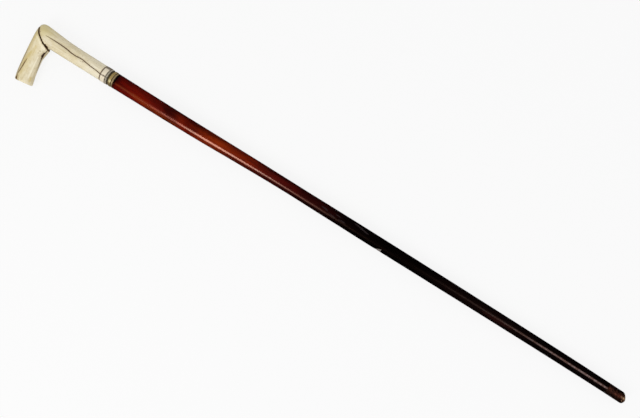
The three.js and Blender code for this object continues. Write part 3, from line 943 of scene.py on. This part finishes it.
# Shaft
shaftEnds = (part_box("rim_ring")[1].x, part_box("ferrule_sleeve")[0].x)
shaft = {
    "step": 3 * mm,
    "endStep": 0.25 * mm,
    "sides": 80,
    "headTenon": (8.9 * mm, 8 * mm),  # radius and length inside the collar
    "tipTenon": (5.2 * mm, 19.6 * mm),  # radius and length inside the ferrule
    "ringGap": 2 * mm,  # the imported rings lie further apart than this
    "thinnest": 12 * mm,  # and are thicker than this, which the tenons aren't
    "uneven": (0.08 * mm, 9 * mm, 2),
    "alongShares": (0.25, 1, 1),  # it is stretched along the shaft
    "nick": ((310.8, 6.4), (318.6, 3.3)),  # its sloping upper line, in pixels along and across
    "nickSlope": 0.9,  # how wide its side is, in pixels
    "nickDepth": 0.6 * mm,
    "nickStep": 0.4 * mm,
    "nickMargin": (2 * mm, 1 * mm),  # how far the short steps pass the nick, and the gap to the even ones
    "nickFade": (1, 7.5 * mm, 10.5 * mm),  # the heights between which it runs out down the side
    "nickRagged": (2 * mm, 2 * mm, 8),
    "nickEdge": (1, 0.1, 0.7),
    # marks as in handle
    # orange wood below the highlight, and near the collar a painted glow along the highlight
    "warmAndGlow": {
        "edge": (1.4, 0.2), "ragged": (0.3, 5 * mm, 6),
        "routes": [(0.3, [
            (5, 3.6, 0.8), (20, 3.6, 0.9), (29, 4.4, 2.2), (42, 5.4, 3.2), (58, 6.2, 3), (68, 6.8, 2),
            (78, 6.6, 1.2),
        ])],
    },
    # painted shade along the far edge, and a darker blotch in the wood (the third route)
    "dimAndShade": {
        "edge": (1.3, 0.2), "ragged": (0.4, 4 * mm, 9),
        "routes": [
            (0.85, [(76, -5.6, 2.2), (96, -4.6, 4.8), (112, -4.8, 4), (124, -5.2, 3.6), (134, -5.6, 1.4)]),
            (0.85, [(168, -5.6, 1.4), (176, -5.2, 2.8), (188, -5.2, 2.6), (204, -5.4, 1.8)]),
            (0.3, [(59, -1.8, 1.6), (66, -1.4, 3.2), (72, -0.4, 2)]),
            (0.4, [(41, -4.6, 1.4), (54, -4.4, 2), (66, -4.4, 1.6)]),
        ],
    },
    "bare": {
        "edge": (1.3, 0.2), "ragged": (0.6, 3 * mm, 3), "stretch": (0.3, 1, 1),
        "routes": [(0.45, [(437, 2.2, 1.2), (449, 2.4, 3.2), (464, 2.2, 2.4), (471, 2.2, 1)])],
    },
    "scuff": {
        "edge": (1.6, 0.4), "ragged": (0.6, 2 * mm, 5),
        "routes": [
            (0.8, [(283, -4.7, 0.5), (291, -3.7, 0.8), (298.5, -2.5, 0.5)]),
            (0.8, [(246, -2, 0.5), (251, -1.2, 0.6)]),
            (0.8, [(256, 0.4, 0.4), (262, 1.4, 0.5)]),
            (0.8, [(262, -2.6, 0.4), (267, -2, 0.5)]),
            (0.8, [(268, 0.6, 0.5), (274, 0.2, 0.4)]),
        ],
    },
    # small glossier places in the varnish, as pixels along and across and radius
    "glossy": [
        (447.3, 1.3, 2.6), (505.3, 1.1, 1.2), (511, 0.5, 1.3), (517, 1.2, 1.1), (544.6, 1.1, 1.1),
        (552.9, 1.1, 1.2), (559.8, 1.4, 1), (568.9, 1.5, 1.3), (576, 1.8, 1.2), (580.6, 1.7, 1),
    ],
    "glossyReach": 1.4,  # how far their gloss fades out, in radii
    "glossySmooth": 0.04,
    # the colour, by share of the shaft's length
    "colours": [
        (0, (84, 4, 1)), (0.04, (100, 10, 1)), (0.082, (110, 11, 1)), (0.109, (74, 3, 1)),
        (0.132, (114, 23, 2)), (0.15, (84, 10, 1)), (0.175, (116, 30, 2)), (0.21, (128, 38, 3)),
        (0.235, (112, 28, 2)), (0.265, (112, 26, 2)), (0.29, (96, 18, 3)), (0.31, (82, 12, 5)),
        (0.34, (74, 9, 6)), (0.375, (56, 4, 4)), (0.405, (50, 5, 5)), (0.43, (34, 4, 4)),
        (0.46, (12, 3, 3)), (0.5, (6, 2, 2)), (0.56, (3, 1, 1)), (0.63, (5, 2, 2)), (0.68, (14, 4, 4)),
        (0.8, (16, 5, 5)), (0.86, (7, 2, 2)), (1, (9, 3, 3)),
    ],
    # where the sheen is the figured wood's own and the varnish's is weaker
    "satin": [
        (0.06, 0), (0.08, 1), (0.12, 1), (0.145, 0), (0.35, 0), (0.375, 1), (0.41, 0.6), (0.44, 0),
    ],
    "satinRough": 0.08,
    "satinMetal": 0.3,
    # how strongly the varnish shines
    "shine": [
        (0.19, 0.03), (0.235, 0.2), (0.27, 0.12), (0.3, 0.55), (0.33, 0.3), (0.36, 0.03), (0.5, 0.03),
        (0.75, 0.85), (0.83, 0.6), (0.87, 0.62), (0.93, 0.8), (0.98, 1),
    ],
    "dullRough": 0.09,  # how much rougher the varnish is between its glossy flecks
    "nickRough": 0.5,
    "noises": {  # as in noisesOf
        "drift": ((1, 3, 3), 40, 3, 0.6, 0.8),
        "flecks": ((0.35, 1, 1), 190, 4, 0.6, 0.5),
        "grain": ((0.03, 1, 1), 1300, 3, 0.7),
        "ripple": ((0.2, 1, 1), 260, 3, 0.5),
        "rubbedAndSheen": ((1, 0.6, 0.6), 260, 2, 0.7),
    },
    "driftReach": 30 * mm,  # how far the bands of colour wander
    "fleckDim": (0.55, 0.4, 0.5),
    "grainDim": (0.5, 0.42, 0.42),
    # how far the painted shade dims the wood
    "shadeDim": (0.3, 0.22, 0.22),
    "tones": {"warmAndGlow": (144, 62, 10), "bare": (44, 14, 12), "soot": (16, 3, 4), "scuff": (46, 40, 42)},
    "torn": ((130, 126, 123), (104, 97, 94)),
    # painted shadow beside the collar: a patch on the far side as centre, radius and strength, and a ring
    "collarShadowPatch": ((3 * mm, 28 * mm, 20 * mm), 9 * mm, 0.8),
    "collarShadowRing": (4.4 * mm, 2.4 * mm),
    "bump": (0.05 * mm, 0.06),
}


def shaftRings():
    # where the turned shaft's axis runs and how thick it is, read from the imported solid
    ringGap = shaft["ringGap"]
    low, high = shaftEnds
    groups = {}
    for vertex in nodes["shaft"].data.vertices:
        if low - ringGap / 10 < vertex.co.x < high + ringGap / 10:
            groups.setdefault(round(vertex.co.x / ringGap), []).append(vertex.co)
    rings = []
    for key in sorted(groups):
        places = np.array(groups[key])
        size = places.max(0) - places.min(0)
        if size[1] > shaft["thinnest"]:
            rings.append((*(places.max(0) + places.min(0)) / 2, (size[1] + size[2]) / 4))
    return np.array(rings)


def ringStations(first, last):
    # even steps, with short ones at the nick
    even = np.linspace(first, last, int((last - first) / shaft["step"]))
    ends = [end[0] - photo["below"][0] for end in shaft["nick"]]
    low, high = [view["place"][0] + end * photo["pixel"] for end in ends]
    margin, gap = shaft["nickMargin"]
    fine = np.arange(low - margin, high + margin, shaft["nickStep"])
    outside = (even < fine[0] - gap) | (even > fine[-1] + gap)
    corners = (first + shaft["endStep"], last - shaft["endStep"])
    return np.sort(np.concatenate([even[outside], fine, corners]))


def smoothRings(rings, stations):
    # Catmull-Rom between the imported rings
    slopes = np.gradient(rings[:, 1:], rings[:, 0], axis=0)
    index = np.minimum(np.searchsorted(rings[:, 0], stations, "right") - 1, len(rings) - 2)
    width = (rings[index + 1, 0] - rings[index, 0])[:, None]
    share = (stations - rings[index, 0])[:, None] / width
    made = (2 * share ** 3 - 3 * share ** 2 + 1) * rings[index, 1:]
    made += (3 * share ** 2 - 2 * share ** 3) * rings[index + 1, 1:]
    made += (share ** 3 - 2 * share ** 2 + share) * slopes[index] * width
    made += (share ** 3 - share ** 2) * slopes[index + 1] * width
    return np.column_stack([stations, made])


def extrudeRing(bm, edges, centre, radius):
    # the next ring along, drawn from the last one
    grown = bmesh.ops.extrude_edge_only(bm, edges=edges)["geom"]
    verts = [item for item in grown if isinstance(item, bmesh.types.BMVert)]
    middle = sum((vertex.co for vertex in verts), Vector()) / len(verts)
    scale = radius / (verts[0].co - middle).length
    for vertex in verts:
        vertex.co = centre + (vertex.co - middle) * scale
    return [item for item in grown if isinstance(item, bmesh.types.BMEdge)]


def turnedShaft():
    packed = shaftRings()
    rings = smoothRings(packed, ringStations(packed[0, 0], packed[-1, 0]))
    head = Vector(rings[0, :3])
    tip = Vector(rings[-1, :3])
    headRadius, headLength = shaft["headTenon"]
    tipRadius, tipLength = shaft["tipTenon"]
    bm = bmesh.new()
    bmesh.ops.create_circle(
        bm, cap_ends=False, segments=shaft["sides"], radius=headRadius,
        matrix=Matrix.Translation(head - Vector((headLength, 0, 0))) @ Matrix.Rotation(math.pi / 2, 4, "Y"),
    )
    edges = firstEdges = list(bm.edges)
    stations = [(head, headRadius), *[(Vector(ring[:3]), ring[3]) for ring in rings]]
    stations += [(tip, tipRadius), (tip + Vector((tipLength, 0, 0)), tipRadius)]
    for centre, radius in stations:
        edges = extrudeRing(bm, edges, centre, radius)
    for rim in (firstEdges, edges):
        bmesh.ops.contextual_create(bm, geom=rim)
    bmesh.ops.recalc_face_normals(bm, faces=bm.faces)
    return bm


def woodColour(tree, place, share, noises):
    # the red and dark wood with its grain, painted shade on its far and near sides, a painted shadow beside
    # the collar, and its marks
    normal = addNode(tree, "TexCoord").outputs["Normal"]
    facing = derive("SeparateXYZ", {"Vector": normal})["Y"]
    # painted shade on the far and near sides
    farSide = times(rangeOf(facing, 0.2, 0.95), 0.6)
    nearSide = times(rangeOf(facing, -0.32, -0.62), rangeOf(share, 0.15, 0.26, 0, 0.95))
    nearSide = times(nearSide, rangeOf(share, 0.6, 0.68, 1, 0.4))
    sides = larger(larger(farSide, nearSide), layerOf(tree, "dimAndShade"))
    colour = rampOf(share, [(position, paint(*tone)) for position, tone in shaft["colours"]])
    for mask, name in (
        (rangeOf(noises["flecks"], 0.48, 0.66, 0, 0.75), "fleckDim"),
        (rangeOf(noises["grain"], 0.48, 0.7, 0, 0.6), "grainDim"),
        (sides, "shadeDim"),
    ):
        colour = mixOf(mask, colour, dimmed(colour, shaft[name]))
    low = shaftEnds[0]
    (along, across, height), radius, strength = shaft["collarShadowPatch"]
    ringEnd, ringFull = shaft["collarShadowRing"]
    # a painted shadow of the collar on the wood
    patch = times(spotOf(place, (low + along, across, height), radius), strength)
    soot = larger(patch, rangeOf(alongOf(place), low + ringEnd, low + ringFull))
    masks = {"soot": times(soot, rangeOf(facing, -0.2, -0.6, 1, 0.6))}
    colour = coated(colour, shaft["tones"], masks)
    pale, dark = [paint(*tone) for tone in shaft["torn"]]
    torn = mixOf(rangeOf(noises["grain"], 0.42, 0.6), pale, dark)
    return mixOf(layerOf(tree, "nick"), colour, torn)


def alongOf(place):
    return derive("SeparateXYZ", {"Vector": place})["X"]


def shaftMaterial(surface):
    material, tree, shader = newMaterial(
        "varnishedWood", IOR=1.5, Specular_IOR_Level=0.75, Specular_Tint=(1, 0.55, 0.4, 1),
        Coat_Roughness=0.16,
    )
    place = objectPlace(tree)
    noises = noisesOf(place, shaft["noises"])
    wander = times(minus(noises["drift"], 0.5), shaft["driftReach"])
    share = rangeOf(plus(alongOf(place), wander), *shaftEnds)
    glossy = 0
    for along, across, radius in shaft["glossy"]:
        reach = shaft["glossyReach"] * radius * photo["pixel"]
        glossy = larger(glossy, spotOf(place, placeOn(surface, along, across), reach))
    shine = levelsOf(share, shaft["shine"])
    satin = levelsOf(share, shaft["satin"])
    coat = larger(times(shine, rangeOf(noises["rubbedAndSheen"], 0.46, 0.62, 0.1, 1)), glossy)
    dull = times(shine, minus(1, coat))
    rough = rangeOf(noises["flecks"], 0.3, 0.7, 0.14, 0.2)
    for mask, name in ((satin, "satinRough"), (layerOf(tree, "nick"), "nickRough"), (dull, "dullRough")):
        rough = plus(rough, times(mask, shaft[name]))
    rough = minus(rough, times(glossy, shaft["glossySmooth"]))
    height = plus(times(noises["grain"], 0.4), noises["ripple"])
    drive(
        shader, Base_Color=woodColour(tree, place, share, noises), Roughness=rough,
        Metallic=times(satin, shaft["satinMetal"]), Coat_Weight=coat,
        Normal=bumpOf(height, *shaft["bump"]),
    )
    return material


def nickShare(places):
    # how deep each place lies in the nick, from 0 to 1
    (startAlong, startAcross), (endAlong, endAcross) = shaft["nick"]
    along, across = seenAt(places)
    share = (along - startAlong) / (endAlong - startAlong)
    below = (across - (startAcross + (endAcross - startAcross) * share)) / shaft["nickSlope"]
    height = places[:, 2] + waves(places, *shaft["nickRagged"])
    inside = (share > 0) & (share < 1)
    return inside * np.clip(below, 0, 1) * rise(height, *shaft["nickFade"])


def makeShaft():
    bm = turnedShaft()
    places = placesOf(bm)
    surface = BVHTree.FromBMesh(bm)
    nick = nickShare(places)
    uneven = waves(places * np.array(shaft["alongShares"]), *shaft["uneven"])
    pushIn(bm, uneven + shaft["nickDepth"] * nick)
    setLayer(bm, "nick", rise(nick, *shaft["nickEdge"]))
    for name in ("scuff", "dimAndShade", "bare", "warmAndGlow"):
        setLayer(bm, name, marksOn(surface, places, shaft[name]))
    addPiece("woodShaft", bm, shaftMaterial(surface), "dark_wood", "shaft")


makeShaft()


# Ferrule
ferrule = {
    "passes": 3,
    "voxels": {"ferrule_sleeve": 0.3 * mm, "ferrule_plug": 0.25 * mm},
    "pitting": (0.12 * mm, 1.6 * mm, 4),
    "standOut": -0.012 * mm,  # the least depth of the pitting, so that little stands out
    # the rubbed end by distance from the worn face, and how unevenly it is rubbed
    "endRub": (0.5, -2.4 * mm, -0.4 * mm),
    "endWaves": (1, 1.3 * mm, 9),
    "endSpared": (0.25, 0.6, -0.6),
    "glints": {  # rubbed bare metal at the end with painted glints, as in handle
        "edge": (1.3, 0.3),
        "routes": [
            (1, [(602.7, 1, 0.5), (603.6, 1.9, 0.7)]),
            (0.75, [(602, 4.3, 0.4), (602.8, 5, 0.4)]),
            (0.5, [(600, 1.2, 0.8), (603.4, 1.8, 1.6)]),
        ],
    },
    "head": (1, 440 * mm, 430 * mm),  # where the sleeve begins at the wood
    # painted shade at the head
    "headShade": 0.34,
    "sideShade": (0.85, 0.1, 0.6),  # painted shade on the sides, by share of the radius
    "radius": 7.5 * mm,
    "litSide": -0.15,  # where the light falls across the sleeve, as a share of the radius
    "headShift": 0.08,  # how much it moves and narrows at the head
    "clouds": {"Scale": 220, "Contrast": 5},
    "gritScale": 420,
    "rust": ((22, 4, 1), (70, 27, 17)),
    "tones": {"grit": (116, 66, 46), "shade": (8, 3, 2), "rubEdge": (112, 88, 68), "rubbedAndSheen": (214, 184, 138)},
    "bump": (0.15 * mm, 0.8),
}


def rustMaterial():
    material, tree, shader = newMaterial(
        "rustedIron", Specular_IOR_Level=0.3, Specular_Tint=(1, 0.5, 0.36, 1),
    )
    place = objectPlace(tree)
    crust = useGroup(mottleGroup, Vector=place, **ferrule["clouds"])["Mask"]
    grit = noiseOf(place, ferrule["gritScale"], 3, 0.6)
    rubAndGlints = layerOf(tree, "rubAndGlints")
    masks = {
        "grit": rangeOf(grit, 0.54, 0.66, 0, 0.8),
        "rubEdge": rangeOf(rubAndGlints, 0, 0.6),
        "rubbedAndSheen": rangeOf(rubAndGlints, 0.6, 1),
    }
    colour = mixOf(crust, *[paint(*tone) for tone in ferrule["rust"]])
    height = plus(crust, times(grit, 0.5))
    drive(
        shader, Base_Color=coated(colour, ferrule["tones"], masks),
        Roughness=rangeOf(crust, 0, 1, 0.36, 0.6), Metallic=rangeOf(rubAndGlints, 0, 1, 0.05, 0.5),
        Normal=bumpOf(height, *ferrule["bump"]),
    )
    return material


def wornFace():
    # the largest of the plug's faces that look towards the tip: its middle and its normal
    bm = copyOf("ferrule_plug")
    face = max((face for face in bm.faces if face.normal.x > 0.5), key=lambda face: face.calc_area())
    middle = np.array(face.calc_center_median())
    normal = np.array(face.normal)
    bm.free()
    return middle, normal


def shapeFerrule(nodeName, pieceName, slotName, material):
    bm = remeshed(copyOf(nodeName), ferrule["voxels"][nodeName], ferrule["passes"])
    places = placesOf(bm)
    pushIn(bm, np.maximum(waves(places, *ferrule["pitting"]), ferrule["standOut"]))
    middle, normal = wornFace()
    spared = rise(waves(places, *ferrule["endWaves"]), *ferrule["endSpared"])
    worn = rise((places - middle) @ normal, *ferrule["endRub"]) * (1 - spared)
    # the worn end and its painted glints
    setLayer(bm, "rubAndGlints", np.maximum(worn, marksOn(BVHTree.FromBMesh(bm), places, ferrule["glints"])))
    # painted shade on the sides and at the head
    head = rise(places[:, 0], *ferrule["head"])
    shift = ferrule["headShift"] * head
    side = (places[:, 1] - middle[1]) / ferrule["radius"] - ferrule["litSide"] - shift
    strength, none, whole = ferrule["sideShade"]
    shade = rise(np.abs(side), strength, none, whole - shift)
    setLayer(bm, "shade", np.maximum(shade, ferrule["headShade"] * head))
    addPiece(pieceName, bm, material, slotName, nodeName)


rust = rustMaterial()
shapeFerrule("ferrule_sleeve", "ironSleeve", "rusty_iron", rust)
shapeFerrule("ferrule_plug", "wornPlug", "steel", rust)


# Inner pieces, which only a stick taken apart would show
inner = {
    "contrast": 3,
    "roughRange": 0.2,
    "bump": (0.05 * mm, 0.5),
}


def innerMaterial(name, first, second, metallic, roughness, scale, stretch):
    material, tree, shader = newMaterial(name, Metallic=metallic)
    vector = stretched(objectPlace(tree), stretch)
    grain = useGroup(mottleGroup, Vector=vector, Scale=scale, Contrast=inner["contrast"])["Mask"]
    drive(
        shader, Base_Color=mixOf(grain, paint(*first), paint(*second)),
        Roughness=rangeOf(grain, 0, 1, roughness, roughness + inner["roughRange"]),
        Normal=bumpOf(grain, *inner["bump"]),
    )
    return material


def dressNode(nodeName, material):
    mesh = nodes[nodeName].data
    mesh.materials.clear()
    mesh.materials.append(material)


pegWood = innerMaterial("pegWood", (160, 126, 82), (128, 96, 58), 0, 0.6, 300, (0.2, 1, 1))
rodSteel = innerMaterial("rodSteel", (142, 138, 132), (104, 98, 92), 0.9, 0.35, 500, (0.1, 1, 1))
dressNode("mitre_peg", pegWood)
dressNode("joining_rod", rodSteel)
dressNode("ferrule_pin", rodSteel)
print("inner pieces dressed")


# Floor, world and lamps
stage = {
    "floorHalf": 4,
    "floorDrop": 0.2 * mm,
    "white": (249, 249, 249),
    "mirrored": (20, 20, 20),  # the photographed varnish mirrors no white floor
    "floorGlow": 0.9,  # how much of the floor's look is its own plain white
    "sky": 0.88,
    "skyInGloss": 0.005,
}
lamps = {
    "key": {"place": (-0.415, -1.02, 1.08), "aim": (-0.145, 0.02, 0.02), "size": (0.34, 0.72), "power": 7.2},
    "tail": {"place": (-0.13, -1.02, 1.08), "aim": (-0.05, 0.02, 0.02), "size": (0.22, 0.6), "power": 0.7},
    "near": {"place": (0.7, -0.1, 1.35), "aim": (0.26, 0.03, 0), "size": (0.6, 0.3), "power": 0.12},
    "far": {
        "place": (0.99, -0.11, 1.08), "aim": (0.38, 0.03, 0), "size": (0.6, 0.46), "power": 2.02,
        "tone": (0.95, 0.92, 1),  # cool, for the greyer shine of the dark stretch
    },
}


def addFloor():
    bm = bmesh.new()
    place = Matrix.Translation((0, 0, -stage["floorDrop"]))
    bmesh.ops.create_grid(bm, x_segments=1, y_segments=1, size=stage["floorHalf"], matrix=place)
    mesh = bpy.data.meshes.new("floor")
    bm.to_mesh(mesh)
    bm.free()
    material = bpy.data.materials.new("paleFloor")
    tree = emptyTree(material)
    path = addNode(tree, "LightPath").outputs
    white = paint(*stage["white"])
    shown = mixOf(path["Is Glossy Ray"], white, paint(*stage["mirrored"]))
    matt = addNode(tree, "BsdfDiffuse", {"Color": shown})
    glow = addNode(tree, "Emission", {"Color": white})
    share = times(path["Is Camera Ray"], stage["floorGlow"])
    mixed = addNode(tree, "MixShader", {0: share, 1: matt.outputs[0], 2: glow.outputs[0]})
    addNode(tree, "OutputMaterial", {"Surface": mixed.outputs[0]})
    mesh.materials.append(material)
    floor = addObject("floor", mesh)


def addWorld():
    world = bpy.data.worlds.new("studio")
    tree = emptyTree(world)
    path = addNode(tree, "LightPath").outputs
    light = rangeOf(path["Is Glossy Ray"], 0, 1, stage["sky"], stage["skyInGloss"])
    strength = larger(light, path["Is Camera Ray"])
    sky = addNode(tree, "Background", {"Color": paint(*stage["white"]), "Strength": strength})
    addNode(tree, "OutputWorld", {"Surface": sky.outputs[0]})
    scene.world = world


def addLamp(name, settings):
    lamp = bpy.data.lights.new(name, "AREA")
    lamp.shape = "RECTANGLE"
    lamp.size, lamp.size_y = settings["size"]
    lamp.energy = settings["power"]
    lamp.color = settings.get("tone", (1, 1, 1))
    holder = addObject(name, lamp)
    place = Vector(settings["place"])
    turn = (Vector(settings["aim"]) - place).to_track_quat("-Z", "Y").to_matrix().to_4x4()
    holder.matrix_world = Matrix.Translation(place) @ turn


addFloor()
addWorld()
for lampName, lampValues in lamps.items():
    addLamp(lampName, lampValues)
scene.view_settings.view_transform = "Standard"
print("stage lit")
